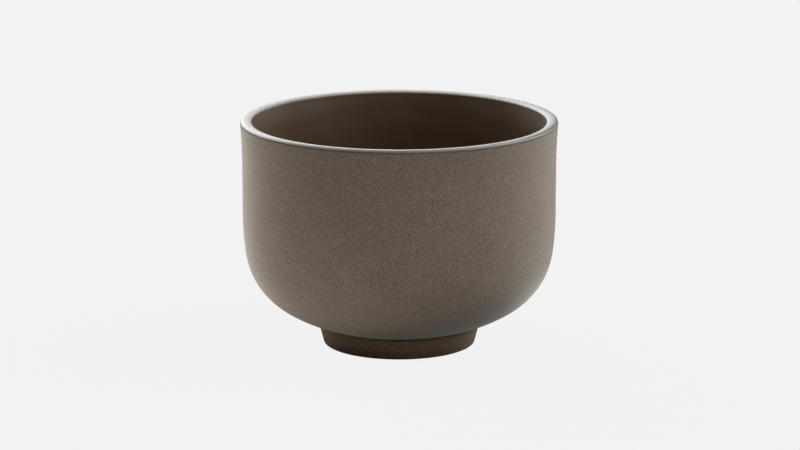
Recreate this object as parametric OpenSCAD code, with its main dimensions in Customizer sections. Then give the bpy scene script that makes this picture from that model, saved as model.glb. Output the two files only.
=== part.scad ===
// A footed stoneware cup without a handle: a bare clay bowl on a foot ring that is luted on
// with slip, a dark glaze lining inside, and a pale glaze cap over the lip.
// Lengths are in millimetres and angles in degrees. The cup stands on the table at z = 0, and
// its axis is the z axis. Each solid is one outline at x >= 0, turned about that axis.

/* [Cup] */
// Diameter across the lip at its widest
rim_d = 90; // [80:1:104]
// Height from the table to the top of the lip
cup_h = 64.9; // [60:0.1:80]
// How far the lip stands out past the straight wall
flare_w = 0.5; // [0.2:0.1:1.2]
// Height of the stretch in which the wall flares out, down from the top of the lip
flare_h = 14; // [8:1:20]
// Radius that rounds the lip's outer edge
lip_outer_r = 1; // [0.8:0.05:1.3]
// Radius that rounds the lip's inner edge
lip_inner_r = 0.5; // [0.45:0.05:0.7]
// How much lower the rounded inner edge reaches than the top of the lip
crown_drop = 0.33; // [0.1:0.01:0.5]

/* [Belly] */
// Radius of the long curve where the wall starts to turn in
shoulder_r = 82; // [60:1:100]
// Radius of the tight curve of the belly
belly_r = 21.6; // [16:0.2:26]
// Radius of the shallow curve under the belly
heel_r = 42.6; // [34:0.2:50]
// Slope of the outline where the shoulder curve meets the belly curve
shoulder_slope = 82; // [72:1:86]
// Slope of the outline where the belly curve meets the heel curve
heel_slope = 33; // [28:1:40]

/* [Clay] */
// Thickness of the clay wall
wall_t = 2.95; // [2.4:0.05:4]
// Thickness of the clay floor
floor_t = 3.6; // [2.8:0.1:5]

/* [Glaze] */
// Thickness of the glaze on the wall and on the lip
glaze_t = 0.3; // [0.2:0.05:0.4]
// Thickness of the glaze that pooled on the floor
pool_t = 0.6; // [0.4:0.05:1]
// How far the pale cap reaches down the lip's outer edge, from the top of the lip
cap_h = 0.57; // [0.45:0.01:0.8]
// How far the pale cap reaches down the lip's inner edge, from the top of that edge
cap_inner_h = 0.24; // [0.15:0.01:0.4]

/* [Foot ring] */
// Height of the bowl's underside above the table
well_h = 4.5; // [3.5:0.1:7]
// Diameter of the foot ring where it stands on the table
foot_d = 43; // [38:0.5:52]
// Width of the foot ring at the table
foot_w = 4; // [3:0.1:6]
// How far the foot ring's outside leans out from the table up to the bowl
foot_lean = 1.55; // [0:0.05:2.5]
// Radius that rounds the foot ring's two edges at the table
foot_edge_r = 0.7; // [0.3:0.05:1]

/* [Slip joint] */
// Thickness of the slip between the bowl and the foot ring
slip_t = 0.35; // [0.2:0.05:0.6]
// How far the slip stops short of the foot ring's outside, which leaves a fine crease
slip_recess = 0.25; // [0.1:0.05:0.5]
// Leg of the slip bead left in the corner inside the foot ring
slip_bead = 0.8; // [0.4:0.1:1.2]
// Number of grooves scored into both faces of the joint to key the slip
key_count = 3; // [1:1:5]
// Radius of a keyed bead of slip, centred in the middle of the joint
key_r = 0.45; // [0.35:0.05:0.6]

/* [Hidden] */
$fn = 144;

// Colours of the fired clay, the slip, the lining and the lip
CLAY = [0.42, 0.37, 0.33];
FOOT_CLAY = [0.30, 0.24, 0.19];
SLIP = [0.22, 0.18, 0.15];
LINING = [0.20, 0.14, 0.09];
LIP = [0.62, 0.57, 0.52];

// An arc is [centre, radius, start angle, end angle]. Its cutting shape reaches this many radii
reach_share = 2;
// How far a shape runs on past the face that cuts it
overrun = 1;

// The whole wall, clay and glaze together, and the heights of the circles that round the lip
total_t = wall_t + glaze_t;
wall_r = rim_d / 2 - flare_w;
lip_outer_z = cup_h - lip_outer_r;
lip_inner_z = cup_h - crown_drop - lip_inner_r;

// The belly's three curves run on tangent to each other from the underside up to the wall
belly_top_z = well_h + heel_r * (1 - cos(heel_slope))
    + belly_r * (cos(heel_slope) - cos(shoulder_slope)) + shoulder_r * cos(shoulder_slope);
shoulder_c = [wall_r - shoulder_r, belly_top_z];
belly_c = shoulder_c + (shoulder_r - belly_r) * toward(shoulder_slope - 90);

// The flare is one hollow curve, tangent to the straight wall and to the lip's outer circle
flare_z = cup_h - flare_h;
outer_rise = lip_outer_z - flare_z;
inner_rise = lip_inner_z - flare_z;
flare_r = (pow(flare_w, 2) + pow(outer_rise, 2)) / (2 * flare_w) - lip_outer_r;
flare_c = [wall_r + flare_r, flare_z];
outer_reach = flare_r + lip_outer_r;
inner_reach = flare_r + total_t - lip_inner_r;
outer_sweep = asin(outer_rise / outer_reach);
inner_sweep = asin(inner_rise / inner_reach);
lip_outer_c = flare_c + outer_reach * toward(180 - outer_sweep);
lip_inner_c = flare_c + inner_reach * toward(180 - inner_sweep);

// The crown is the tangent over both circles, and the cap ends partway down each of them
crown_run = lip_outer_c - lip_inner_c;
crown_angle = atan2(crown_run[1], crown_run[0])
    + acos((lip_inner_r - lip_outer_r) / norm(crown_run));
cap_outer_angle = asin((lip_outer_r - cap_h) / lip_outer_r);
cap_inner_angle = 180 - asin((lip_inner_r - cap_inner_h) / lip_inner_r);

// Radii of the foot ring
foot_r = foot_d / 2;
bore_r = foot_r - foot_w;
seat_r = foot_r + foot_lean;

function toward(t) = [cos(t), sin(t)];
function on_arc(arc, t) = arc[0] + arc[1] * toward(t);
function first(arc) = on_arc(arc, arc[2]);
function last(arc) = on_arc(arc, arc[3]);

// Faces of the bowl, set in from its outside by inset, with the floor raised by lift as well
function heel_radius(inset, lift) = heel_r - inset - lift / (1 - cos(heel_slope));
function heel_centre(inset, lift) =
    belly_c + (belly_r - inset - heel_radius(inset, lift)) * toward(heel_slope - 90);
function belly_arcs(inset, lift) = [
    [heel_centre(inset, lift), heel_radius(inset, lift), -90, heel_slope - 90],
    [belly_c, belly_r - inset, heel_slope - 90, shoulder_slope - 90],
    [shoulder_c, shoulder_r - inset, shoulder_slope - 90, 0]
];
function flare_arc(inset, sweep) = [flare_c, flare_r + inset, 180, 180 - sweep];
function face_points(arcs, flare) =
    [first(arcs[0]), last(arcs[0]), last(arcs[1]), last(arcs[2]), first(flare), last(flare)];
function reversed(list) = [for (k = [len(list) - 1:-1:0]) list[k]];

outside = belly_arcs(0, 0);
outside_flare = flare_arc(0, outer_sweep);
clay_inside = belly_arcs(wall_t, floor_t - wall_t);
clay_flare = flare_arc(wall_t, inner_sweep);
glaze_inside = belly_arcs(total_t, floor_t + pool_t - total_t);
glaze_flare = flare_arc(total_t, inner_sweep);

// Arcs of the lip: its surface, and the clay core under the glaze
lip_skirt = [lip_outer_c, lip_outer_r, -outer_sweep, cap_outer_angle];
cap_outer = [lip_outer_c, lip_outer_r, cap_outer_angle, crown_angle];
cap_inner = [lip_inner_c, lip_inner_r, crown_angle, cap_inner_angle];
liner_lip = [lip_inner_c, lip_inner_r, cap_inner_angle, 180 - inner_sweep];
core_outer = [lip_outer_c, lip_outer_r - glaze_t, cap_outer_angle, crown_angle];
core_inner = [lip_inner_c, lip_inner_r - glaze_t, crown_angle, cap_inner_angle];
core_lip = [lip_inner_c, lip_inner_r - glaze_t, cap_inner_angle, 180 - inner_sweep];

// Height at x of the bowl's underside, moved out by gap: flat, then the heel, then the belly
function arc_bottom_z(arc, x) =
    arc[0][1] - sqrt(pow(arc[1], 2) - pow(max(x - arc[0][0], 0), 2));
function under_z(x, gap) =
    let (arcs = belly_arcs(-gap, 0)) arc_bottom_z(arcs[x < last(arcs[0])[0] ? 0 : 1], x);

// The area between an arc and its chord
module arc_slice(arc) {
    far = [arc[0], reach_share * arc[1], arc[2], arc[3]];
    intersection() {
        translate(arc[0]) circle(r = arc[1]);
        polygon([first(arc), first(far), last(far), last(arc)]);
    }
}

// An outline drawn by its corners, with the slices of some arcs added and of others cut away
module outline(points, added, cut) {
    difference() {
        union() {
            polygon(points);
            for (arc = added) arc_slice(arc);
        }
        for (arc = cut) arc_slice(arc);
    }
}

// The sector between an arc and its centre
module arc_sector(arc) {
    far = [arc[0], reach_share * arc[1], arc[2], arc[3]];
    intersection() {
        translate(arc[0]) circle(r = arc[1]);
        polygon([arc[0], first(far), last(far)]);
    }
}

// The area over the bowl's underside, moved out by gap, as far as the end of the belly curve
module over_underside(gap) {
    heel = belly_arcs(-gap, 0)[0];
    belly = belly_arcs(-gap, 0)[1];
    polygon([[0, first(heel)[1]], first(heel), last(heel), last(belly), [0, last(belly)[1]]]);
    arc_sector(heel);
    arc_sector(belly);
}

// Beads of slip that key the joint, spaced evenly between the bore and the outside
module key_beads() {
    for (k = [1:key_count]) {
        x = bore_r + (seat_r - bore_r) * k / (key_count + 1);
        translate([x, under_z(x, slip_t / 2)]) circle(r = key_r);
    }
}

// The thrown bowl: bare clay outside, with its floor inside the foot ring
module shell() {
    color(CLAY) rotate_extrude() difference() {
        outline(
            concat(
                [[0, well_h]],
                face_points(outside, outside_flare),
                [last(lip_skirt), first(core_outer), last(core_outer), first(core_inner)],
                [first(core_lip)],
                reversed(face_points(clay_inside, clay_flare)),
                [[0, well_h + floor_t]]
            ),
            concat(outside, [lip_skirt, core_outer, core_inner, core_lip, clay_flare]),
            concat(clay_inside, [outside_flare])
        );
        key_beads();
    }
}

// The ring that the cup stands on, with a hollow seat that follows the bowl's underside
module foot_ring() {
    seat_z = under_z(seat_r, slip_t);
    lean = atan2(foot_lean, seat_z);
    top_z = seat_z + overrun;
    outer_edge = [
        [foot_r - foot_edge_r * tan((90 - lean) / 2), foot_edge_r], foot_edge_r, -90, -lean
    ];
    inner_edge = [[bore_r + foot_edge_r, foot_edge_r], foot_edge_r, 180, 270];
    color(FOOT_CLAY) rotate_extrude() difference() {
        union() {
            polygon([
                last(inner_edge), first(outer_edge), last(outer_edge),
                [foot_r + top_z * tan(lean), top_z], [bore_r, top_z], first(inner_edge)
            ]);
            for (edge = [inner_edge, outer_edge]) translate(edge[0]) circle(r = edge[1]);
        }
        over_underside(slip_t);
        key_beads();
    }
}

// The slip that lutes the ring to the bowl, with its keys and a bead in the inner corner
module foot_slip() {
    slip_r = seat_r - slip_recess;
    bead_r = bore_r - slip_bead;
    inner_r = bore_r + slip_t;
    top_z = under_z(slip_r, 0) + overrun;
    color(SLIP) rotate_extrude() difference() {
        union() {
            intersection() {
                over_underside(slip_t);
                translate([bore_r, 0]) square([slip_r - bore_r, top_z]);
            }
            polygon([
                [bead_r, under_z(bead_r, 0)], [bore_r, under_z(bore_r, slip_t) - slip_bead],
                [bore_r, under_z(bore_r, slip_t)], [inner_r, under_z(inner_r, slip_t / 2)],
                [inner_r, top_z], [bead_r, top_z]
            ]);
            key_beads();
        }
        difference() {
            over_underside(0);
            key_beads();
        }
    }
}

// The dark glaze that lines the bowl from the floor up to the cap on the lip
module liner_glaze() {
    color(LINING) rotate_extrude() outline(
        concat(
            [[0, well_h + floor_t]],
            face_points(clay_inside, clay_flare),
            [first(core_lip), first(liner_lip)],
            reversed(face_points(glaze_inside, glaze_flare)),
            [[0, well_h + floor_t + pool_t]]
        ),
        concat(clay_inside, [liner_lip, glaze_flare]),
        concat(glaze_inside, [core_lip, clay_flare])
    );
}

// The pale glaze over the crown of the lip
module lip_glaze() {
    color(LIP) rotate_extrude() outline(
        [first(cap_outer), last(cap_outer), first(cap_inner), last(cap_inner),
            last(core_inner), first(core_inner), last(core_outer), first(core_outer)],
        [cap_outer, cap_inner],
        [core_outer, core_inner]
    );
}

shell();
foot_ring();
foot_slip();
liner_glaze();
lip_glaze();
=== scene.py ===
"""A handleless stoneware cup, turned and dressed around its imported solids.

Every length is in metres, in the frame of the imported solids: the cup stands on z = 0 and its
axis is the z axis. Each piece is one closed section, turned about that axis on a fine lathe.
Finishes give their sizes and levels in millimetres.
"""

from __future__ import annotations

import logging
import math
from abc import ABC, abstractmethod
from dataclasses import dataclass
from enum import Enum
from functools import cached_property
from typing import Any, Callable, ClassVar

import bpy
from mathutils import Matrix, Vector

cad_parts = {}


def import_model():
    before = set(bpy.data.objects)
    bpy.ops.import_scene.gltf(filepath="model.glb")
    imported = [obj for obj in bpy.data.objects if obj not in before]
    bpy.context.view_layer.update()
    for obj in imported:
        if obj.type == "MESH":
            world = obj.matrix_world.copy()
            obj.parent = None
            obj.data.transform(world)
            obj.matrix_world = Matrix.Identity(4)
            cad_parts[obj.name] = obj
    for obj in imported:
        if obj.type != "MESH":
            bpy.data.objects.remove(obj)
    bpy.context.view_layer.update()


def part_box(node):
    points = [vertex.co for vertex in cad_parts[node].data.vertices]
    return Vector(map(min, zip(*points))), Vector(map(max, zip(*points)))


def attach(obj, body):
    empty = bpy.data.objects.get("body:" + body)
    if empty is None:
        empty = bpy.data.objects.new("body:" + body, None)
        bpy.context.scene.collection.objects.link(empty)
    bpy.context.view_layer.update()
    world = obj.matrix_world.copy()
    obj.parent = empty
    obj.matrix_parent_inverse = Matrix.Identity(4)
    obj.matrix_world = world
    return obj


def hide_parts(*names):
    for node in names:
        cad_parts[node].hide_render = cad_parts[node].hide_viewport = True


LOG = logging.getLogger("cup")
MM = 0.001
PER_MM = 1 / MM
BODY = "root"

Point = tuple[float, float]
Place = tuple[float, float, float]
Colour = tuple[float, float, float]
Section = Callable[[float], list[Point]]


def spread(start: float, end: float, steps: int) -> list[float]:
    """Evenly spaced values between two others, both ends with them."""
    return [start + (end - start) * k / steps for k in range(steps + 1)]


def wave(length: float, pitch: float, phase: float) -> float:
    """A wave along a length, which rises from 0 to 1 and falls again in each pitch."""
    return (1 - math.cos(2 * math.pi * length / pitch + phase)) / 2


@dataclass(frozen=True)
class Arc:
    """A round stretch of a section: its centre, its radius and two angles in degrees."""

    centre: Point
    radius: float
    start: float
    end: float

    def at(self, angle: float) -> Point:
        """The point at an angle.

        Args:
            angle: The angle in degrees.

        Returns:
            The point.
        """
        x, z = self.centre
        turn = math.radians(angle)
        return (x + self.radius * math.cos(turn), z + self.radius * math.sin(turn))

    def points(self, steps: int) -> list[Point]:
        """The ends of the even chords that the arc is cut into, from start to end."""
        return [self.at(angle) for angle in spread(self.start, self.end, steps)]


def straight(a: Point, b: Point, steps: int) -> list[Point]:
    """The points that cut a line between two corners into even steps, without either."""
    return list(zip(spread(a[0], b[0], steps), spread(a[1], b[1], steps)))[1:-1]


def offset(centre: Point, distance: float, angle: float) -> Point:
    """The point at a distance and an angle in degrees from a centre."""
    return Arc(centre, distance, angle, angle).at(angle)


@dataclass(frozen=True)
class Ripple:
    """A smooth wander round the cup, as a sum of waves that close on themselves."""

    depth: float
    waves: tuple[int, ...]
    phase: float

    def at(self, theta: float) -> float:
        """The wander at one angle.

        Args:
            theta: The angle in radians.

        Returns:
            A length between -depth and depth.
        """
        total = sum(
            math.sin(n * theta + self.phase * (1 + k)) for k, n in enumerate(self.waves)
        )
        return self.depth * total / len(self.waves)


@dataclass(frozen=True)
class FaceRows:
    """How many rows each stretch of a face of the bowl is cut into."""

    floor: int
    heel: int
    belly: int
    shoulder: int
    straight: int
    flare: int


FINE_ROWS = FaceRows(floor=24, heel=44, belly=44, shoulder=28, straight=30, flare=30)
HIDDEN_ROWS = FaceRows(floor=3, heel=10, belly=12, shoulder=6, straight=4, flare=6)
HIDDEN_STEPS = 6


@dataclass(frozen=True)
class LipRound:
    """One of the lip's two rounds, and the flare's curve that runs into it."""

    flare_centre: Point
    reach: float
    rise: float
    radius: float
    inside: bool

    @property
    def sweep(self) -> float:
        """Angle that the flare turns through below the round, in degrees."""
        return math.degrees(math.asin(self.rise / self.reach))

    @property
    def centre(self) -> Point:
        """The round's centre."""
        return offset(self.flare_centre, self.reach, 180 - self.sweep)

    def angle(self, z: float) -> float:
        """Angle at which the round passes a height, in degrees."""
        turn = math.degrees(math.asin((z - self.centre[1]) / self.radius))
        return 180 - turn if self.inside else turn

    def arc(self, depth: float, start: float, end: float) -> Arc:
        """A stretch of the round, at a depth under its surface."""
        return Arc(self.centre, self.radius - depth, start, end)


@dataclass(frozen=True)
class CupForm:
    """The cup's driving sizes and the curves that follow from them."""

    rim_radius: float
    height: float
    underside: float
    flare_out: float = 0.5 * MM
    flare_height: float = 14 * MM
    lip_outer_radius: float = 1 * MM
    lip_inner_radius: float = 0.5 * MM
    crown_drop: float = 0.33 * MM
    shoulder_radius: float = 82 * MM
    belly_radius: float = 21.6 * MM
    heel_radius: float = 42.6 * MM
    shoulder_slope: float = 82.0
    heel_slope: float = 33.0
    clay_wall: float = 2.95 * MM
    clay_floor: float = 3.6 * MM
    glaze: float = 0.3 * MM
    pool: float = 0.6 * MM
    cap_height: float = 0.57 * MM
    cap_outer_edge: Ripple = Ripple(0.05 * MM, (3, 7, 16), 0.7)
    cap_inner_edge: Ripple = Ripple(0.05 * MM, (2, 5, 13), 2.1)
    foot_radius: float = 21.5 * MM
    foot_width: float = 4 * MM
    foot_lean: float = 1.55 * MM
    slip: float = 0.35 * MM

    @classmethod
    def from_frame(cls) -> CupForm:
        """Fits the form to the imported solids.

        Returns:
            The form whose rim, height and underside are those of the solids.
        """
        low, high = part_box("shell")
        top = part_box("lip_glaze")[1]
        return cls(rim_radius=min(high.x, high.y), height=top.z, underside=low.z)

    @property
    def wall(self) -> float:
        """The whole wall, clay and glaze together."""
        return self.clay_wall + self.glaze

    @property
    def wall_radius(self) -> float:
        """Outer radius of the straight wall."""
        return self.rim_radius - self.flare_out

    @property
    def belly_top(self) -> float:
        """Height at which the shoulder curve runs into the straight wall."""
        heel, shoulder = math.radians(self.heel_slope), math.radians(self.shoulder_slope)
        return (
            self.underside
            + self.heel_radius * (1 - math.cos(heel))
            + self.belly_radius * (math.cos(heel) - math.cos(shoulder))
            + self.shoulder_radius * math.cos(shoulder)
        )

    @property
    def shoulder_centre(self) -> Point:
        """Centre of the shoulder curve."""
        return (self.wall_radius - self.shoulder_radius, self.belly_top)

    @property
    def belly_centre(self) -> Point:
        """Centre of the belly curve."""
        reach = self.shoulder_radius - self.belly_radius
        return offset(self.shoulder_centre, reach, self.shoulder_slope - 90)

    @property
    def flare_start(self) -> float:
        """Height at which the wall begins to flare."""
        return self.height - self.flare_height

    @property
    def outer_rise(self) -> float:
        """Height from the start of the flare to the centre of the lip's outer round."""
        return self.flare_height - self.lip_outer_radius

    @property
    def flare_radius(self) -> float:
        """Radius of the hollow curve of the flare."""
        squares = self.flare_out**2 + self.outer_rise**2
        return squares / (2 * self.flare_out) - self.lip_outer_radius

    @property
    def flare_centre(self) -> Point:
        """Centre of the flare's curves."""
        return (self.wall_radius + self.flare_radius, self.flare_start)

    @property
    def outer(self) -> LipRound:
        """The lip's outer round.

        Returns:
            The round, on top of the outside's flare.
        """
        radius = self.lip_outer_radius
        reach = self.flare_radius + radius
        return LipRound(self.flare_centre, reach, self.outer_rise, radius, inside=False)

    @property
    def inner(self) -> LipRound:
        """The lip's inner round.

        Returns:
            The round, on top of the inside's flare.
        """
        radius = self.lip_inner_radius
        reach = self.flare_radius + self.wall - radius
        rise = self.flare_height - self.crown_drop - radius
        return LipRound(self.flare_centre, reach, rise, radius, inside=True)

    @property
    def crown_angle(self) -> float:
        """The slope of the crown, between the lip's two rounds.

        Returns:
            The angle at which it leaves both of them, in degrees.
        """
        outer, inner = self.outer, self.inner
        across, rise = (a - b for a, b in zip(outer.centre, inner.centre))
        share = (inner.radius - outer.radius) / math.hypot(across, rise)
        return math.degrees(math.atan2(rise, across) + math.acos(share))

    @property
    def cap_z(self) -> float:
        """Mean height of the lower edge of the lip's glaze cap."""
        return self.height - self.cap_height

    @property
    def foot_bore(self) -> float:
        """Radius of the well inside the foot ring."""
        return self.foot_radius - self.foot_width

    @property
    def foot_seat(self) -> float:
        """Outer radius at which the foot ring meets the belly."""
        return self.foot_radius + self.foot_lean

    def outer_edge_z(self, theta: float) -> float:
        """Height of the cap's outer edge at an angle in radians."""
        return self.cap_z + self.cap_outer_edge.at(theta)

    def inner_edge_z(self, theta: float) -> float:
        """Height of the cap's inner edge at an angle in radians."""
        return self.cap_z + self.cap_inner_edge.at(theta)

    def flare_arc(self, inset: float, sweep: float) -> Arc:
        """The flare of one face, walked upwards."""
        return Arc(self.flare_centre, self.flare_radius + inset, 180, 180 - sweep)

    def belly_arcs(self, inset: float, lift: float = 0.0) -> list[Arc]:
        """The heel, belly and shoulder curves of one face of the bowl.

        Args:
            inset: How far the face is set in from the bowl's outside.
            lift: How much higher its floor is than the inset alone makes it.

        Returns:
            Three arcs, from the floor up.
        """
        low, high = self.heel_slope - 90, self.shoulder_slope - 90
        heel = self.heel_radius - inset - lift / (1 - math.cos(math.radians(self.heel_slope)))
        belly = self.belly_radius - inset
        return [
            Arc(offset(self.belly_centre, belly - heel, low), heel, -90, low),
            Arc(self.belly_centre, belly, low, high),
            Arc(self.shoulder_centre, self.shoulder_radius - inset, high, 0),
        ]

    def face(self, inset: float, lift: float, rows: FaceRows) -> list[Point]:
        """One face of the bowl, from the axis up to the start of the lip's round.

        Args:
            inset: How far the face is set in from the bowl's outside.
            lift: How much higher its floor is than the inset alone makes it.
            rows: How finely each stretch is cut.

        Returns:
            Points from the axis outwards and upwards.
        """
        heel, belly, shoulder = self.belly_arcs(inset, lift)
        flare = self.flare_arc(inset, self.outer.sweep if inset == 0 else self.inner.sweep)
        floor = (0.0, heel.at(-90)[1])
        return [
            floor,
            *straight(floor, heel.at(-90), rows.floor),
            *heel.points(rows.heel),
            *belly.points(rows.belly)[1:],
            *shoulder.points(rows.shoulder)[1:],
            *straight(shoulder.at(0), flare.at(180), rows.straight),
            *flare.points(rows.flare),
        ]

    def clay_face(self) -> list[Point]:
        """The face between the clay and its lining, from the axis upwards."""
        return self.face(self.clay_wall, self.clay_floor - self.clay_wall, HIDDEN_ROWS)

    def under_z(self, x: float, gap: float = 0.0) -> float:
        """Height of the bowl's underside, moved down by a gap.

        Args:
            x: The radius at which the height is taken.
            gap: The gap, square to the surface.

        Returns:
            The height.
        """
        heel, belly, _ = self.belly_arcs(-gap)
        arc = heel if x < heel.at(heel.end)[0] else belly
        across = max(x - arc.centre[0], 0.0)
        return arc.centre[1] - math.sqrt(arc.radius**2 - across**2)


@dataclass(frozen=True)
class Lathe:
    """Turns a section about the z axis into a closed mesh."""

    segments: int = 320
    sharp_angle: float = 38.0

    def turn(self, name: str, section: Section) -> bpy.types.Object:
        """Turns a section, which may change slowly with the angle.

        Args:
            name: Name of the new object.
            section: Gives the section's points for an angle in radians, counter-clockwise,
                and as many for every angle. A section that starts and ends on the axis is
                closed by a point at each end, and any other by its last row meeting its first.

        Returns:
            The new object, linked to the scene.
        """
        angles = [2 * math.pi * j / self.segments for j in range(self.segments)]
        sections = [section(theta) for theta in angles]
        first, last = sections[0][0], sections[0][-1]
        on_axis = first[0] == 0 and last[0] == 0
        rings = [points[1:-1] if on_axis else points for points in sections]
        rows = len(rings[0])
        vertices = [
            (r * math.cos(theta), r * math.sin(theta), z)
            for theta, ring in zip(angles, rings)
            for r, z in ring
        ]
        faces: list[tuple[int, ...]] = []
        steps = rows - 1 if on_axis else rows
        for j in range(self.segments):
            here, there = j * rows, (j + 1) % self.segments * rows
            for i in range(steps):
                above = (i + 1) % rows
                faces.append((here + i, there + i, there + above, here + above))
        if on_axis:
            faces += self.fans(len(vertices), rows)
            vertices += [(0, 0, first[1]), (0, 0, last[1])]
        mesh = bpy.data.meshes.new(name)
        mesh.from_pydata(vertices, [], faces)
        mesh.update()
        mesh.shade_smooth()
        mesh.set_sharp_from_angle(angle=math.radians(self.sharp_angle))
        piece = bpy.data.objects.new(name, mesh)
        bpy.context.scene.collection.objects.link(piece)
        return piece

    def fans(self, start: int, rows: int) -> list[tuple[int, ...]]:
        """The triangles that close a section on the axis.

        Args:
            start: Index of the lower of the two points on the axis.
            rows: Rows in each ring.

        Returns:
            The triangles round both points.
        """
        faces: list[tuple[int, ...]] = []
        for j in range(self.segments):
            here, there = j * rows, (j + 1) % self.segments * rows
            faces.append((start, there, here))
            faces.append((start + 1, here + rows - 1, there + rows - 1))
        return faces


class Tree:
    """Adds and joins the nodes of one shader tree."""

    def __init__(self, tree: bpy.types.NodeTree) -> None:
        """Keeps the tree that the nodes go into."""
        self.tree = tree

    def node(self, kind: str, inputs: dict[Any, Any] | None = None, **settings: Any) -> Any:
        """Adds a node.

        Args:
            kind: The node's type name.
            inputs: Its inputs, each a value or a socket to join, by name or number.
            **settings: Its own properties.

        Returns:
            The new node.
        """
        node = self.tree.nodes.new(kind)
        for key, value in settings.items():
            setattr(node, key, value)
        for key, value in (inputs or {}).items():
            self.feed(node.inputs[key], value)
        return node

    def feed(self, socket: Any, value: Any) -> None:
        """Joins a socket to another one, or gives it a plain value.

        Args:
            socket: The input socket.
            value: An output socket, a number or a colour.
        """
        if isinstance(value, bpy.types.NodeSocket):
            self.tree.links.new(value, socket)
        elif socket.type == "RGBA":
            socket.default_value = (*value, 1.0)
        else:
            socket.default_value = value

    def math(self, operation: str, *values: Any, clamp: bool = False) -> Any:
        """A sum of one to three values.

        Args:
            operation: Blender's name for the sum.
            *values: Numbers and sockets.
            clamp: Whether the result stays between 0 and 1.

        Returns:
            The socket of the result.
        """
        inputs = dict(enumerate(values))
        node = self.node("ShaderNodeMath", inputs, operation=operation, use_clamp=clamp)
        return node.outputs[0]

    def product(self, *values: Any) -> Any:
        """The product of two or more values, as a socket.

        Args:
            *values: Numbers and sockets.

        Returns:
            The socket.
        """
        result = values[0]
        for value in values[1:]:
            result = self.math("MULTIPLY", result, value)
        return result

    def vector(self, operation: str, output: str, *values: Any) -> Any:
        """One output of a sum of vectors, as a socket."""
        inputs = dict(enumerate(values))
        return self.node("ShaderNodeVectorMath", inputs, operation=operation).outputs[output]

    def axes(self, vector: Any) -> Any:
        """The three parts of a vector, as sockets."""
        return self.node("ShaderNodeSeparateXYZ", {0: vector}).outputs

    def mix(self, factor: Any, a: Any, b: Any) -> Any:
        """A colour between two others.

        Args:
            factor: 0 for the first colour and 1 for the second.
            a: The first colour.
            b: The second colour.

        Returns:
            The socket of the colour.
        """
        node = self.node("ShaderNodeMix", data_type="RGBA", clamp_factor=True)
        for socket, value in zip((node.inputs[0], node.inputs[6], node.inputs[7]), (factor, a, b)):
            self.feed(socket, value)
        return node.outputs[2]

    def scale(self, vector: Any, factor: Any) -> Any:
        """A vector or a colour times a factor, as a socket."""
        inputs = {0: vector, "Scale": factor}
        return self.node("ShaderNodeVectorMath", inputs, operation="SCALE").outputs[0]

    def ramp(self, value: Any, low: float, high: float) -> Any:
        """A smooth step of a value, as a socket.

        Args:
            value: The value.
            low: The value at which the step is 0.
            high: The value at which it is 1.

        Returns:
            The socket.
        """
        inputs = {0: value, 1: low, 2: high, 3: 0.0, 4: 1.0}
        node = self.node("ShaderNodeMapRange", inputs, interpolation_type="SMOOTHSTEP")
        return node.outputs[0]

    def noise(self, position: Any, scale: Any, detail: float = 2.0, rough: float = 0.5) -> Any:
        """Noise between about 0 and 1, as a socket."""
        inputs = {"Vector": position, "Scale": scale, "Detail": detail, "Roughness": rough}
        return self.node("ShaderNodeTexNoise", inputs).outputs["Fac"]

    def wander(self, position: Any, scale: Any, detail: float, rough: float = 0.5) -> Any:
        """Noise between about -0.5 and 0.5, as a socket."""
        return self.math("SUBTRACT", self.noise(position, scale, detail, rough), 0.5)

    def side(self, place: Any, way: Place, edge: tuple[float, float]) -> tuple[Any, Any]:
        """How far a place lies from the middle, and how much to one side of it.

        Args:
            place: Socket of the place.
            way: The way from the middle to that side, about 1 long.
            edge: The cosines of the angle to it at which the side begins and is full.

        Returns:
            The socket of the distance, and one that is 1 on that side and 0 on the other.
        """
        reach = self.vector("LENGTH", "Value", place)
        along = self.vector("DOT_PRODUCT", "Value", place, way)
        return reach, self.ramp(self.math("DIVIDE", along, reach), *edge)

    def group(self, group: bpy.types.NodeTree, inputs: dict[str, Any]) -> Any:
        """Places a node group with its own values, and gives its outputs."""
        return self.node("ShaderNodeGroup", inputs, node_tree=group).outputs


class Kind(Enum):
    """The kinds of socket that a node group has."""

    NUMBER = "NodeSocketFloat"
    COLOUR = "NodeSocketColor"
    VECTOR = "NodeSocketVector"


def new_group(
    name: str, inputs: dict[str, Kind], outputs: dict[str, Kind]
) -> tuple[Tree, Any, Any]:
    """Starts a shader node group.

    Args:
        name: Name of the group.
        inputs: Its inputs by name.
        outputs: Its outputs by name.

    Returns:
        The tree, its input node's outputs and its output node's inputs.
    """
    group = bpy.data.node_groups.new(name, "ShaderNodeTree")
    for way, sockets in (("INPUT", inputs), ("OUTPUT", outputs)):
        for title, kind in sockets.items():
            group.interface.new_socket(name=title, in_out=way, socket_type=kind.value)
    start = group.nodes.new("NodeGroupInput")
    end = group.nodes.new("NodeGroupOutput")
    return Tree(group), start.outputs, end.inputs


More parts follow.
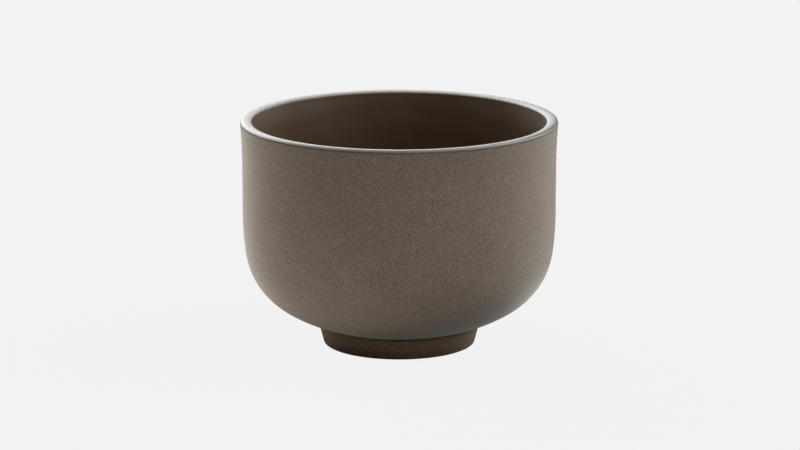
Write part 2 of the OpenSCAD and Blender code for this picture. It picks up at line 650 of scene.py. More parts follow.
@dataclass
class Effects:
    """The surface effects that several finishes share, each built once.

    A pair holds the values at which a step is 0 and 1. A scale is a multiple of its
    effect's own, and the band's is in waves to the millimetre.
    """

    grain_rough: float = 0.62
    cloud_rough: float = 0.55
    cell_scale: float = 0.62
    speck_rim: tuple[float, float] = (0.34, 0.12)
    pale_chance: tuple[float, float] = (0.62, 0.92)
    dark_chance: tuple[float, float] = (0.72, 0.95)
    roughening: float = 0.35
    fine_scale: float = 2.1
    fine_height: float = 0.45
    speck_height: float = 0.3
    band_scale: float = 0.9
    dust_patches: tuple[float, float] = (0.42, 0.72)
    mote_scale: float = 14.0
    mote_chance: tuple[float, float] = (0.45, 0.75)

    @cached_property
    def grain(self) -> bpy.types.NodeTree:
        """Fired clay: fine grain, pale and dark specks, and slow clouds of colour.

        Returns:
            A group with the outputs Color, Roughness and Height.
        """
        tree, given, put = new_group(
            "fired clay grain",
            {
                "Position": Kind.VECTOR,
                "Body Color": Kind.COLOUR,
                "Pale Color": Kind.COLOUR,
                "Dark Color": Kind.COLOUR,
                "Grain Size": Kind.NUMBER,
                "Cloud Size": Kind.NUMBER,
                "Grain Amount": Kind.NUMBER,
                "Speck Amount": Kind.NUMBER,
                "Cloud Amount": Kind.NUMBER,
                "Roughness": Kind.NUMBER,
            },
            {"Color": Kind.COLOUR, "Roughness": Kind.NUMBER, "Height": Kind.NUMBER},
        )
        position = given["Position"]
        scale = tree.math("DIVIDE", 1.0, given["Grain Size"])
        cloud_scale = tree.math("DIVIDE", 1.0, given["Cloud Size"])
        grain = tree.noise(position, scale, detail=3.0, rough=self.grain_rough)
        cloud = tree.wander(position, cloud_scale, detail=3.0, rough=self.cloud_rough)
        cell_scale = tree.product(scale, self.cell_scale)
        cells = tree.node("ShaderNodeTexVoronoi", {"Vector": position, "Scale": cell_scale})
        chance = tree.node("ShaderNodeSeparateColor", {0: cells.outputs["Color"]}).outputs
        near = tree.ramp(cells.outputs["Distance"], *self.speck_rim)
        pale_speck = tree.product(near, tree.ramp(chance[0], *self.pale_chance))
        dark_speck = tree.product(near, tree.ramp(chance[1], *self.dark_chance))
        shade = tree.product(tree.math("SUBTRACT", grain, 0.5), given["Grain Amount"])
        cloud = tree.product(cloud, given["Cloud Amount"])
        level = tree.math("ADD", tree.math("ADD", shade, cloud), 1.0)
        colour = tree.scale(given["Body Color"], level)
        pale = tree.product(pale_speck, given["Speck Amount"])
        dark = tree.product(dark_speck, given["Speck Amount"])
        colour = tree.mix(dark, tree.mix(pale, colour, given["Pale Color"]), given["Dark Color"])
        tree.feed(put["Color"], colour)
        roughness = tree.math("MULTIPLY_ADD", shade, self.roughening, given["Roughness"])
        tree.feed(put["Roughness"], roughness)
        fine = tree.noise(position, tree.product(scale, self.fine_scale))
        height = tree.math("MULTIPLY_ADD", fine, self.fine_height, grain)
        height = tree.math("MULTIPLY_ADD", pale_speck, self.speck_height, height)
        tree.feed(put["Height"], height)
        return tree.tree

    @cached_property
    def band(self) -> bpy.types.NodeTree:
        """A ring at one height, with a wandering and broken edge, for painted shade in grooves and
        creases and for a glaze's edge.

        Returns:
            A group with the output Mask.
        """
        tree, given, put = new_group(
            "shade and glaze edge band",
            {
                "Position": Kind.VECTOR,
                "Level": Kind.NUMBER,
                "Half Width": Kind.NUMBER,
                "Softness": Kind.NUMBER,
                "Break Up": Kind.NUMBER,
            },
            {"Mask": Kind.NUMBER},
        )
        height = tree.axes(given["Position"])[2]
        wander = tree.wander(given["Position"], self.band_scale, detail=3.0)
        away = tree.math("ABSOLUTE", tree.math("SUBTRACT", height, given["Level"]))
        away = tree.math("MULTIPLY_ADD", wander, given["Break Up"], away)
        far = tree.math("ADD", given["Half Width"], given["Softness"])
        tree.feed(put["Mask"], tree.ramp(away, far, given["Half Width"]))
        return tree.tree

    @cached_property
    def dust(self) -> bpy.types.NodeTree:
        """Fine dust and wiped slip, in soft patches over a surface.

        Returns:
            A group with the output Mask.
        """
        tree, given, put = new_group(
            "fine dust",
            {"Position": Kind.VECTOR, "Size": Kind.NUMBER, "Amount": Kind.NUMBER},
            {"Mask": Kind.NUMBER},
        )
        position = given["Position"]
        scale = tree.math("DIVIDE", 1.0, given["Size"])
        patches = tree.ramp(tree.noise(position, scale, detail=4.0), *self.dust_patches)
        motes = tree.noise(position, tree.product(scale, self.mote_scale), detail=1.0)
        motes = tree.ramp(motes, *self.mote_chance)
        tree.feed(put["Mask"], tree.product(patches, motes, given["Amount"]))
        return tree.tree


def position_in_mm(tree: Tree) -> Any:
    """The place on the piece in millimetres, as a socket."""
    place = tree.node("ShaderNodeTexCoord").outputs["Object"]
    return tree.scale(place, PER_MM)


@dataclass(frozen=True)
class Surface:
    """What a finish works on: its tree, the shared effects and the place in millimetres."""

    tree: Tree
    effects: Effects
    place: Any


@dataclass(frozen=True, kw_only=True)
class Overlay(ABC):
    """A patch of another colour that lies over a finish's own."""

    colour: Colour
    strength: float = 1.0

    @abstractmethod
    def mask(self, on: Surface) -> Any:
        """Where the patch lies, as a socket."""

    def laid(self, on: Surface, under: Any) -> Any:
        """The patch's colour, or its socket."""
        return self.colour

    def over(self, on: Surface, under: Any) -> Any:
        """Lays the patch over a colour, and gives the new one's socket."""
        mask = on.tree.product(self.mask(on), self.strength)
        return on.tree.mix(mask, under, self.laid(on, under))


@dataclass(frozen=True, kw_only=True)
class ColourBand(Overlay):
    """A ring at one height."""

    level: float
    half_width: float
    softness: float
    break_up: float

    def mask(self, on: Surface) -> Any:
        """Where the ring lies.

        Args:
            on: The surface that it lies on.

        Returns:
            The mask's socket.
        """
        band = {
            "Position": on.place,
            "Level": self.level,
            "Half Width": self.half_width,
            "Softness": self.softness,
            "Break Up": self.break_up,
        }
        return on.tree.group(on.effects.band, band)["Mask"]


@dataclass(frozen=True, kw_only=True)
class PaintedShadeByHeight(Overlay):
    """A slow tint with height, painted shade that darkens towards the bottom, full at one height
    and gone at another.
    """

    full: float
    gone: float

    def mask(self, on: Surface) -> Any:
        """Where the tint lies, as a socket."""
        return on.tree.ramp(on.tree.axes(on.place)[2], self.gone, self.full)

    def laid(self, on: Surface, under: Any) -> Any:
        """The colour underneath, tinted, as a socket."""
        return on.tree.vector("MULTIPLY", "Vector", under, self.colour)


@dataclass(frozen=True, kw_only=True)
class OneSideShade(Overlay):
    """Painted shade on one side, deeper and deeper between two distances from the axis."""

    inner: float
    outer: float
    way: Place = (0.99, 0.1, 0.0)
    edge: tuple[float, float] = (0.55, 0.92)
    wander: float = 0.3
    wander_scale: float = 0.6

    def mask(self, on: Surface) -> Any:
        """Where the painted shade lies.

        Args:
            on: The surface that it lies on.

        Returns:
            The mask's socket.
        """
        tree = on.tree
        x, y, _ = tree.axes(on.place)
        flat = tree.node("ShaderNodeCombineXYZ", {0: x, 1: y}).outputs[0]
        reach, side = tree.side(flat, self.way, self.edge)
        wander = tree.wander(on.place, self.wander_scale, detail=2.0)
        reach = tree.math("MULTIPLY_ADD", wander, self.wander, reach)
        return tree.product(side, tree.ramp(reach, self.inner, self.outer))


@dataclass(frozen=True, kw_only=True)
class Finish(ABC):
    """What every fired surface has: three colours, a grain, a relief and what lies over them."""

    name: str
    body: Colour
    pale: Colour
    dark: Colour
    grain_size: float
    cloud_size: float
    grain_amount: float
    speck_amount: float
    cloud_amount: float
    roughness: float
    specular: float
    relief: float
    overlays: tuple[Overlay, ...] = ()

    @abstractmethod
    def ground(self, on: Surface, colour: Any) -> Any:
        """The finish's own colour over its grain's, as a socket."""

    @abstractmethod
    def height(self, on: Surface, grain: Any) -> Any:
        """The height of the relief, as a socket."""

    def plain_values(self) -> dict[str, Any]:
        """The shader's sockets that have one value all over."""
        return {"Specular IOR Level": self.specular}

    def material(self, effects: Effects) -> bpy.types.Material:
        """Builds the material.

        Args:
            effects: The shared effects.

        Returns:
            The new material.
        """
        material = bpy.data.materials.new(self.name)
        material.use_nodes = True
        tree = Tree(material.node_tree)
        on = Surface(tree, effects, position_in_mm(tree))
        grain = tree.group(
            effects.grain,
            {
                "Position": on.place,
                "Body Color": self.body,
                "Pale Color": self.pale,
                "Dark Color": self.dark,
                "Grain Size": self.grain_size,
                "Cloud Size": self.cloud_size,
                "Grain Amount": self.grain_amount,
                "Speck Amount": self.speck_amount,
                "Cloud Amount": self.cloud_amount,
                "Roughness": self.roughness,
            },
        )
        colour = self.ground(on, grain["Color"])
        for overlay in self.overlays:
            colour = overlay.over(on, colour)
        relief = {"Height": self.height(on, grain), "Strength": 1.0, "Distance": self.relief * MM}
        bump = tree.node("ShaderNodeBump", relief)
        shader = tree.tree.nodes["Principled BSDF"]
        tree.feed(shader.inputs["Base Color"], colour)
        tree.feed(shader.inputs["Roughness"], grain["Roughness"])
        tree.feed(shader.inputs["Normal"], bump.outputs[0])
        for socket, value in self.plain_values().items():
            tree.feed(shader.inputs[socket], value)
        return material


@dataclass(frozen=True, kw_only=True)
class ClayFinish(Finish):
    """Bare fired stoneware: matt, finely grained, and hazy at a grazing view."""

    body: Colour = (0.147, 0.111, 0.0855)
    pale: Colour = (0.33, 0.27, 0.22)
    dark: Colour = (0.05, 0.036, 0.027)
    grain_size: float = 0.42
    cloud_size: float = 9.0
    grain_amount: float = 1.8
    speck_amount: float = 0.6
    cloud_amount: float = 0.16
    roughness: float = 0.72
    specular: float = 0.0
    relief: float = 0.045
    matt: float = 0.6
    sheen: float = 0.35
    sheen_roughness: float = 0.42
    haze: Colour = (1.0, 0.93, 0.84)
    dust: float = 0.1
    dust_size: float = 6.0

    def ground(self, on: Surface, colour: Any) -> Any:
        """The grain under its dust, as a socket."""
        dust = {"Position": on.place, "Size": self.dust_size, "Amount": self.dust}
        return on.tree.mix(on.tree.group(on.effects.dust, dust)["Mask"], colour, self.pale)

    def height(self, on: Surface, grain: Any) -> Any:
        """The grain's own height, as a socket."""
        return grain["Height"]

    def plain_values(self) -> dict[str, Any]:
        """The shader's sockets that have one value all over."""
        return {
            **super().plain_values(),
            "Diffuse Roughness": self.matt,
            "Sheen Weight": self.sheen,
            "Sheen Roughness": self.sheen_roughness,
            "Sheen Tint": self.haze,
        }


@dataclass(frozen=True, kw_only=True)
class GlazeFinish(Finish):
    """A satin glaze, darker where it pooled and paler where it ran thin, with an orange peel."""

    dark: Colour = (0.02, 0.015, 0.01)
    grain_size: float = 0.5
    cloud_size: float = 7.0
    grain_amount: float = 0.14
    speck_amount: float = 0.3
    cloud_amount: float = 0.3
    roughness: float = 0.45
    relief: float = 0.012
    peel_size: float = 0.9
    thin_amount: float = 0.35
    thin_patches: tuple[float, float] = (0.35, 0.75)

    def ground(self, on: Surface, colour: Any) -> Any:
        """The colour where the glaze pooled and where it ran thin.

        Args:
            on: The surface.
            colour: The grain's colour.

        Returns:
            The new colour's socket.
        """
        flow = on.tree.noise(on.place, 1 / self.cloud_size, detail=3.0)
        thin = on.tree.product(on.tree.ramp(flow, *self.thin_patches), self.thin_amount)
        return on.tree.mix(thin, colour, self.pale)

    def height(self, on: Surface, grain: Any) -> Any:
        """The orange peel's height, as a socket."""
        return on.tree.noise(on.place, 1 / self.peel_size, detail=1.0)


@dataclass
class Piece(ABC):
    """What every piece of the cup has: its names, its form, the lathe and the shared effects."""

    name: ClassVar[str]
    node: ClassVar[str]
    slot: ClassVar[str]
    form: CupForm
    lathe: Lathe
    effects: Effects

    @abstractmethod
    def section(self, theta: float) -> list[Point]:
        """The piece's section at an angle in radians, counter-clockwise."""

    @abstractmethod
    def finish(self) -> Finish:
        """The piece's finish."""

    def build(self) -> None:
        """Turns and dresses the piece."""
        self.dress(self.lathe.turn(self.name, self.section))

    def dress(self, piece: bpy.types.Object) -> None:
        """Gives the piece its finish and its place in the frame, and reports it.

        Args:
            piece: The turned piece.
        """
        piece.data.materials.append(self.finish().material(self.effects))
        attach(piece, BODY)
        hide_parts(self.node)
        low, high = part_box(self.node)
        LOG.info(
            "%s: %d faces, %.2f x %.2f x %.2f mm in a box of %.2f x %.2f x %.2f mm",
            piece.name,
            len(piece.data.polygons),
            *(side * PER_MM for side in piece.dimensions),
            *(side * PER_MM for side in high - low),
        )


@dataclass
class Bowl(Piece):
    """The thrown bowl of bare clay, with faint turning rings and a fine line under the lip."""

    name: ClassVar[str] = "bowl_clay"
    node: ClassVar[str] = "shell"
    slot: ClassVar[str] = "shell_clay"
    ring_pitch: float = 1.3 * MM
    ring_depth: float = 0.006 * MM
    slow_rings: float = 5.3
    rings_from: float = 17 * MM
    rings_above: float = 0.2 * MM
    well_radius: float = 16 * MM
    well_pitch: float = 1.9 * MM
    well_depth: float = 0.05 * MM
    groove_depth: float = 0.07 * MM
    groove_height: float = 0.22 * MM
    groove_shares: tuple[float, ...] = (0.0, 0.35, 0.85, 1.0, 1.0, 0.9, 0.75)
    crease_radius: float = 23 * MM
    skirt_steps: int = 10
    core_steps: int = 8

    def turned(self, point: Point, theta: float) -> Point:
        """A point of the outside, set in where a finger or a turning tool ran.

        Args:
            point: The point of the plain form.
            theta: Its angle in radians.

        Returns:
            The point, set in.
        """
        r, z = point
        if z > self.form.under_z(self.rings_from) + self.rings_above:
            slow_pitch = self.slow_rings * self.ring_pitch
            rings = wave(z, self.ring_pitch, theta) + wave(z, slow_pitch, 2 * theta)
            return (r - self.ring_depth * rings / 2, z)
        if r < self.well_radius:
            fade = min(1.0, r / self.well_pitch)
            return (r, z + fade * self.well_depth * wave(r, self.well_pitch, -theta))
        return point

    def section(self, theta: float) -> list[Point]:
        """The bowl's section.

        Args:
            theta: Its angle in radians.

        Returns:
            Points from the axis under the floor, round the lip and back above the floor.
        """
        form, outer, inner = self.form, self.form.outer, self.form.inner
        edge = form.outer_edge_z(theta)
        cap, groove = outer.angle(edge), outer.angle(edge - self.groove_height)
        crown = form.crown_angle
        dip = outer.arc(0, groove, cap).points(len(self.groove_shares) - 1)
        return [
            *(self.turned(point, theta) for point in form.face(0, 0, FINE_ROWS)),
            *outer.arc(0, -outer.sweep, groove).points(self.skirt_steps)[1:-1],
            *((r - self.groove_depth * s, z) for (r, z), s in zip(dip, self.groove_shares)),
            *outer.arc(form.glaze, cap, crown).points(HIDDEN_STEPS),
            *inner.arc(form.glaze, crown, 180 - inner.sweep).points(self.core_steps),
            *reversed(form.clay_face()[:-1]),
        ]

    def finish(self) -> ClayFinish:
        """Bare clay, with painted shade in the groove under the lip, painted shade that makes the
        belly darker and warmer towards the bottom, and painted shade in the crease.

        Returns:
            The finish.
        """
        half_width = 0.15
        # painted shade: a dark ring in the groove just under the lip's glaze edge
        line = ColourBand(
            colour=(0.04, 0.03, 0.023),
            strength=0.55,
            level=self.form.cap_z * PER_MM - half_width,
            half_width=half_width,
            softness=0.4,
            break_up=0.1,
        )
        # painted shade in the crease where the belly meets the foot ring
        crease = ColourBand(
            colour=(0.04, 0.027, 0.018),
            strength=0.9,
            level=self.form.under_z(self.crease_radius) * PER_MM,
            half_width=0.1,
            softness=1.7,
            break_up=0.3,
        )
        # painted shade: the belly darker and warmer towards the bottom, under its overhang
        underside_shade = PaintedShadeByHeight(colour=(0.9, 0.8, 0.68), full=6.5, gone=18.0)
        return ClayFinish(name="fired clay", overlays=(line, underside_shade, crease))


@dataclass
class FootRing(Piece):
    """The ring that the cup stands on, ground flat underneath."""

    name: ClassVar[str] = "foot_ring_clay"
    node: ClassVar[str] = "foot_ring"
    slot: ClassVar[str] = "foot_clay"
    edge: float = 0.7 * MM
    chamfer: float = 0.05 * MM
    ring_pitch: float = 0.9 * MM
    ring_depth: float = 0.008 * MM
    shade_below: float = 0.8 * MM
    side_steps: int = 26
    steps: int = 12
    bore_steps: int = 10

    def section(self, theta: float) -> list[Point]:
        """The ring's section.

        Args:
            theta: Its angle in radians.

        Returns:
            Points from the bore's lower end, round the outside and down the bore.
        """
        form = self.form
        bore, seat = form.foot_bore, form.foot_seat
        seat_z = form.under_z(seat, form.slip)
        slope = math.degrees(math.atan2(form.foot_lean, seat_z))
        set_in = self.edge * math.tan(math.radians(90 - slope) / 2)
        inner = Arc((bore + self.edge, self.edge), self.edge, 180, 270)
        outer = Arc((form.foot_radius - set_in, self.edge), self.edge, -90, -slope)
        shoulder = (seat, seat_z - self.chamfer)
        top = reversed(spread(bore, seat - self.chamfer, self.steps))
        under = [(x, form.under_z(x, form.slip)) for x in top]
        side = straight(outer.at(outer.end), shoulder, self.side_steps)
        return [
            *inner.points(self.bore_steps),
            *straight(inner.at(inner.end), outer.at(outer.start), self.steps),
            *outer.points(self.steps),
            *(self.turned(point, theta) for point in side),
            shoulder,
            *under,
            *straight(under[-1], inner.at(inner.start), self.bore_steps),
        ]

    def turned(self, point: Point, theta: float) -> Point:
        """A point of the side, set in where the turning tool ran."""
        r, z = point
        return (r - self.ring_depth * wave(z, self.ring_pitch, theta), z)

    def finish(self) -> ClayFinish:
        """Browner clay, with painted shadow that darkens it towards the table and a line of
        painted shade at its top.

        Returns:
            The finish.
        """
        top = self.form.under_z(self.form.foot_seat, self.form.slip) * PER_MM
        gone = top - self.shade_below * PER_MM
        # painted shadow: the ring darker towards the table it stands on
        shade = PaintedShadeByHeight(colour=(0.38, 0.4, 0.44), full=0.2, gone=gone)
        # painted shade: a dark line at the ring's top, in the crevice under the belly
        line = ColourBand(
            colour=(0.08, 0.055, 0.04),
            strength=0.4,
            level=top,
            half_width=0.03,
            softness=0.2,
            break_up=0.2,
        )
        return ClayFinish(
            name="foot clay",
            body=(0.158, 0.097, 0.058),
            pale=(0.3, 0.21, 0.15),
            dark=(0.06, 0.042, 0.03),
            sheen=0.16,
            cloud_amount=0.12,
            dust=0.06,
            overlays=(shade, line),
        )


@dataclass
class SlipJoint(Piece):
    """The slip that lutes the ring on: a fine crease outside and a wiped bead inside."""

    name: ClassVar[str] = "joint_slip"
    node: ClassVar[str] = "foot_slip"
    slot: ClassVar[str] = "joint_slip"
    recess: float = 0.2 * MM
    recess_wander: Ripple = Ripple(0.05 * MM, (5, 11, 23), 1.1)
    bead: float = 0.8 * MM
    bead_wander: Ripple = Ripple(0.12 * MM, (4, 9, 21, 34), 0.4)
    bead_hollow: float = 0.12
    bead_steps: int = 8
    lower_steps: int = 10
    upper_steps: int = 12

    def section(self, theta: float) -> list[Point]:
        """The joint's section.

        Args:
            theta: Its angle in radians.

        Returns:
            Points down the bead, out along the ring and back in along the bowl.
        """
        form = self.form
        bore = form.foot_bore
        out = form.foot_seat - self.recess + self.recess_wander.at(theta)
        leg = self.bead - self.bead_wander.depth + self.bead_wander.at(theta)
        low = (bore, form.under_z(bore, form.slip) - leg)
        inner = (bore - leg, form.under_z(bore - leg))
        bead = []
        for t in spread(0, 1, self.bead_steps):
            hollow = self.bead_hollow * leg * math.sin(math.pi * t)
            bead.append(tuple(a + (b - a) * t + hollow for a, b in zip(inner, low)))
        return [
            *bead,
            *((x, form.under_z(x, form.slip)) for x in spread(bore, out, self.lower_steps)),
            *((x, form.under_z(x)) for x in spread(out, inner[0], self.upper_steps)[:-1]),
        ]

    def finish(self) -> ClayFinish:
        """Fine dark slip.

        Returns:
            The finish.
        """
        return ClayFinish(
            name="joint slip",
            body=(0.12, 0.082, 0.056),
            pale=(0.2, 0.15, 0.11),
            dark=(0.05, 0.036, 0.026),
            grain_size=0.25,
            sheen=0.05,
        )


@dataclass
class Lining(Piece):
    """The dark satin glaze inside, a little thicker where it pooled on the floor."""

    name: ClassVar[str] = "lining_glaze"
    node: ClassVar[str] = "liner_glaze"
    slot: ClassVar[str] = "liner_glaze"
    wave_depth: float = 0.03 * MM
    wave_pitch: float = 6.5 * MM
    wave_sway: float = 1.5
    wave_sides: int = 3
    lip_steps: int = 14

    def flowed(self, point: Point, theta: float) -> Point:
        """A point of the glazed face, moved a little where the glaze ran.

        Args:
            point: The point of the plain form.
            theta: Its angle in radians.

        Returns:
            The point, moved away from the axis unless it lies on it.
        """
        r, z = point
        if r == 0:
            return point
        sway = self.wave_sway * math.sin(self.wave_sides * theta)
        waves = 1 - math.sin(2 * math.pi * z / self.wave_pitch + sway)
        return (r + self.wave_depth * waves / 2, z)

    def section(self, theta: float) -> list[Point]:
        """The lining's section.

        Args:
            theta: Its angle in radians.

        Returns:
            Points from the axis up the clay, over its edge and down the glazed face.
        """
        form, inner = self.form, self.form.inner
        edge = inner.angle(form.inner_edge_z(theta))
        start = 180 - inner.sweep
        drink = form.face(form.wall, form.clay_floor + form.pool - form.wall, FINE_ROWS)
        return [
            *form.clay_face(),
            *inner.arc(form.glaze, start, edge).points(HIDDEN_STEPS)[1:],
            *inner.arc(0, edge, start).points(self.lip_steps),
            *reversed([self.flowed(point, theta) for point in drink[:-1]]),
        ]

    def finish(self) -> GlazeFinish:
        """Dark brown glaze.

        Returns:
            The finish.
        """
        return GlazeFinish(
            name="lining glaze",
            body=(0.033, 0.0175, 0.0075),
            pale=(0.041, 0.022, 0.0105),
            specular=0.24,
        )


@dataclass
class LipCap(Piece):
    """The pale satin glaze over the crown of the lip."""

    name: ClassVar[str] = "lip_glaze_cap"
    node: ClassVar[str] = "lip_glaze"
    slot: ClassVar[str] = "lip_glaze"
    dome_lean: float = 16.0
    outer_steps: int = 18
    inner_steps: int = 12
    dome_steps: int = 12

    def dome(self, start: Point, end: Point, lean: float) -> list[Point]:
        """Points over the crown, level at its outer end and leaning in at the other.

        Args:
            start: The crown's outer end.
            end: Its inner end.
            lean: Angle of the surface's normal at the inner end, in degrees.

        Returns:
            The points, without either end.
        """
        turn = math.radians(lean)
        reach = (end[1] - start[1]) / math.cos(turn)
        peak = (end[0] + reach * math.sin(turn), start[1])
        points = []
        for t in spread(0, 1, self.dome_steps)[1:-1]:
            near, mid, far = (1 - t) ** 2, 2 * t * (1 - t), t * t
            axes = zip(start, peak, end)
            points.append(tuple(near * a + mid * b + far * c for a, b, c in axes))
        return points

    def section(self, theta: float) -> list[Point]:
        """The cap's section.

        Args:
            theta: Its angle in radians.

        Returns:
            Points over the crown from its outer edge, and back along the clay.
        """
        form, outer, inner = self.form, self.form.outer, self.form.inner
        outer_edge = outer.angle(form.outer_edge_z(theta))
        inner_edge = inner.angle(form.inner_edge_z(theta))
        crown = form.crown_angle
        lean = crown + self.dome_lean
        over_outer = outer.arc(0, outer_edge, 90)
        over_inner = inner.arc(0, lean, inner_edge)
        return [
            *over_outer.points(self.outer_steps),
            *self.dome(over_outer.at(90), over_inner.at(lean), lean),
            *over_inner.points(self.inner_steps),
            *inner.arc(form.glaze, inner_edge, crown).points(HIDDEN_STEPS),
            *outer.arc(form.glaze, crown, outer_edge).points(HIDDEN_STEPS),
        ]

    def finish(self) -> GlazeFinish:
        """Pale glaze, with painted shade at the right of its outer edge.

        Returns:
            The finish.
        """
        # painted shade: the lip's outer slope darker on the right side
        right_edge_shade = OneSideShade(colour=(0.022, 0.017, 0.014), strength=0.92, inner=42.4, outer=44.0)
        line = ColourBand(
            colour=(0.06, 0.047, 0.037),
            strength=0.5,
            level=self.form.cap_z * PER_MM,
            half_width=0.03,
            softness=0.1,
            break_up=0.1,
        )
        return GlazeFinish(
            name="lip glaze",
            body=(0.112, 0.095, 0.082),
            pale=(0.133, 0.113, 0.097),
            dark=(0.085, 0.07, 0.06),
            specular=0.22,
            peel_size=0.7,
            speck_amount=0.25,
            grain_size=0.3,
            overlays=(right_edge_shade, line),
        )


WHITE: Colour = (1.0, 1.0, 1.0)
COOL: Colour = (0.86, 0.95, 1.0)


@dataclass(frozen=True)
class SoftBox:
    """A soft studio lamp: a lit rectangle that faces the cup, with its width and height."""

    name: str
    place: Place
    size: tuple[float, float]
    watts: float
    colour: Colour = WHITE
    aim: Place = (0.0, 0.0, 0.035)

    def build(self) -> None:
        """Hangs the lamp."""
        lamp = bpy.data.lights.new(self.name, "AREA")
        lamp.shape = "RECTANGLE"
        lamp.size, lamp.size_y = self.size
        lamp.energy = self.watts
        lamp.color = self.colour
        stand = bpy.data.objects.new(self.name, lamp)
        stand.location = self.place
        away = Vector(self.place) - Vector(self.aim)
        stand.rotation_euler = away.to_track_quat("Z", "Y").to_euler()
        bpy.context.scene.collection.objects.link(stand)


LAMPS = (
    SoftBox("key lamp", place=(-0.62, 0.55, 0.75), size=(0.7, 0.6), watts=9.0),
    SoftBox("high right lamp", place=(0.85, 0.0, 0.8), size=(0.6, 0.6), watts=14.6, colour=COOL),
    SoftBox("high left lamp", place=(-0.8, -0.35, 0.9), size=(0.6, 0.6), watts=3.0),
    SoftBox("high back lamp", place=(-0.2, 0.95, 0.6), size=(0.8, 0.5), watts=7.0),
    SoftBox("low back lamp", place=(-0.5, 0.85, 0.35), size=(0.9, 0.6), watts=6.5, colour=COOL),
    SoftBox("right back lamp", place=(0.85, 0.55, 0.3), size=(0.4, 0.6), watts=11.0, colour=COOL),
    SoftBox("right front lamp", place=(1.0, -0.4, 0.4), size=(0.4, 0.6), watts=5.4, colour=COOL),
    SoftBox("left back lamp", place=(-0.85, 0.55, 0.3), size=(0.4, 0.6), watts=5.8, colour=COOL),
    SoftBox("left front lamp", place=(-1.0, -0.4, 0.3), size=(0.4, 0.6), watts=1.5, colour=COOL),
    SoftBox("front lamp", place=(0.0, -1.1, 0.8), size=(0.8, 0.6), watts=5.0),
    SoftBox("front right lamp", place=(0.75, -0.75, 0.6), size=(0.5, 0.6), watts=1.9, colour=COOL),
)


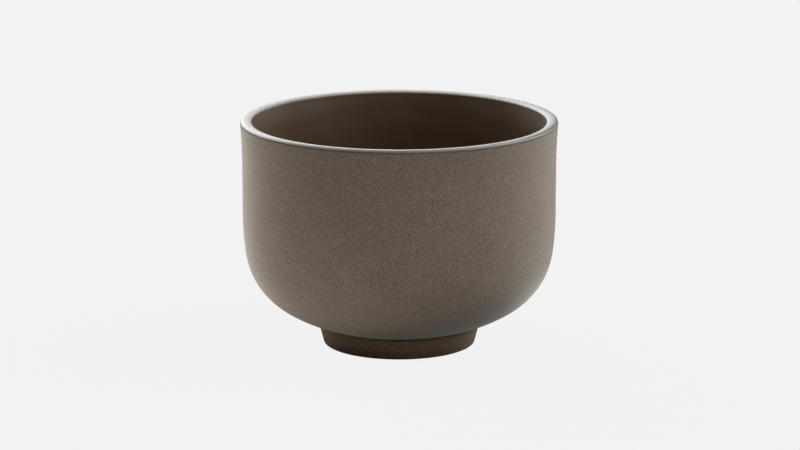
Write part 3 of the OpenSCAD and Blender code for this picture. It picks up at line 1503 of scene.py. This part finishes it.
@dataclass(frozen=True)
class Studio:
    """A pale floor under soft lamps, with the same pale tone wherever the camera looks.

    The card is a pale stretch of the floor on one side, between distances in millimetres.
    """

    lamps: tuple[SoftBox, ...]
    backdrop: Colour = (0.888, 0.888, 0.888)
    sky: Colour = (0.13, 0.13, 0.13)
    floor_tone: Colour = (0.33, 0.33, 0.33)
    floor_near: Colour = (0.035, 0.033, 0.031)
    floor_glow: float = 0.98
    floor_radius: float = 6.0
    floor_sides: int = 96
    card: Colour = (0.95, 0.92, 0.88)
    card_way: Place = (-0.85, -0.5, 0.0)
    card_edge: tuple[float, float] = (0.15, 0.9)
    card_start: tuple[float, float] = (33.0, 58.0)
    card_end: tuple[float, float] = (165.0, 115.0)

    def build(self) -> None:
        """Builds the lamps, the world and the floor."""
        for lamp in self.lamps:
            lamp.build()
        self.build_world()
        self.build_floor()

    def seen(self, tree: Tree) -> Any:
        """A socket that is 1 for rays that show the background itself.

        Args:
            tree: The world's or the floor's tree.

        Returns:
            The socket.
        """
        path = tree.node("ShaderNodeLightPath").outputs
        shown = tree.math("ADD", path["Is Camera Ray"], path["Is Glossy Ray"])
        return tree.math("ADD", shown, path["Is Transmission Ray"], clamp=True)

    def bounce(self, tree: Tree) -> Any:
        """What the floor throws back: little by the foot, and more from the card.

        Args:
            tree: The floor's tree.

        Returns:
            The colour's socket.
        """
        reach, side = tree.side(position_in_mm(tree), self.card_way, self.card_edge)
        out = tree.ramp(reach, *self.card_start)
        fade = tree.ramp(reach, *self.card_end)
        return tree.mix(tree.product(side, out, fade), self.floor_near, self.card)

    def build_world(self) -> None:
        """Lights the room evenly, and shows the backdrop to the camera."""
        world = bpy.data.worlds.new("studio")
        bpy.context.scene.world = world
        world.use_nodes = True
        tree = Tree(world.node_tree)
        colour = tree.mix(self.seen(tree), self.sky, self.backdrop)
        tree.feed(world.node_tree.nodes["Background"].inputs["Color"], colour)

    def build_floor(self) -> None:
        """Lays the floor, which keeps the cup's shadow."""
        rim = Arc((0.0, 0.0), self.floor_radius, 0, 360).points(self.floor_sides)[:-1]
        mesh = bpy.data.meshes.new("floor")
        mesh.from_pydata([(x, y, 0) for x, y in rim], [], [tuple(range(self.floor_sides))])
        floor = bpy.data.objects.new("floor", mesh)
        bpy.context.scene.collection.objects.link(floor)
        material = bpy.data.materials.new("pale floor")
        material.use_nodes = True
        nodes = material.node_tree.nodes
        nodes.remove(nodes["Principled BSDF"])
        tree = Tree(material.node_tree)
        shown = self.seen(tree)
        tone = tree.mix(shown, self.bounce(tree), self.floor_tone)
        matt = tree.node("ShaderNodeBsdfDiffuse", {"Color": tone}).outputs[0]
        glow = {"Color": self.backdrop, "Strength": 1.0}
        glow = tree.node("ShaderNodeEmission", glow).outputs[0]
        share = tree.product(shown, self.floor_glow)
        both = tree.node("ShaderNodeMixShader", {0: share, 1: matt, 2: glow})
        tree.feed(nodes["Material Output"].inputs["Surface"], both.outputs[0])
        mesh.materials.append(material)


@dataclass(frozen=True)
class PhotoCamera:
    """The camera at the photograph's viewing angle."""

    distance: float = 1.0
    pitch: float = 12.95
    aim_height: float = 33.98 * MM
    aside: float = 0.236 * MM
    lens: float = 158.0
    sensor: float = 36.0
    near: float = 0.01
    far: float = 50.0

    def build(self) -> None:
        """Sets up the camera."""
        data = bpy.data.cameras.new("camera")
        data.lens, data.sensor_width, data.sensor_fit = self.lens, self.sensor, "HORIZONTAL"
        data.clip_start, data.clip_end = self.near, self.far
        camera = bpy.data.objects.new("camera", data)
        pitch = math.radians(self.pitch)
        camera.location = (
            self.aside,
            -self.distance * math.cos(pitch),
            self.aim_height + self.distance * math.sin(pitch),
        )
        camera.rotation_euler = (math.radians(90 - self.pitch), 0, 0)
        bpy.context.scene.collection.objects.link(camera)
        bpy.context.scene.camera = camera


def main() -> None:
    """Builds the cup's pieces, the studio and the camera."""
    logging.basicConfig(level=logging.INFO, format="%(message)s")
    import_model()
    form, lathe, effects = CupForm.from_frame(), Lathe(), Effects()
    for kind in (Bowl, FootRing, SlipJoint, Lining, LipCap):
        kind(form, lathe, effects).build()
    Studio(LAMPS).build()
    PhotoCamera().build()
    bpy.context.scene.view_settings.view_transform = "Standard"


if __name__ == "__main__":
    main()
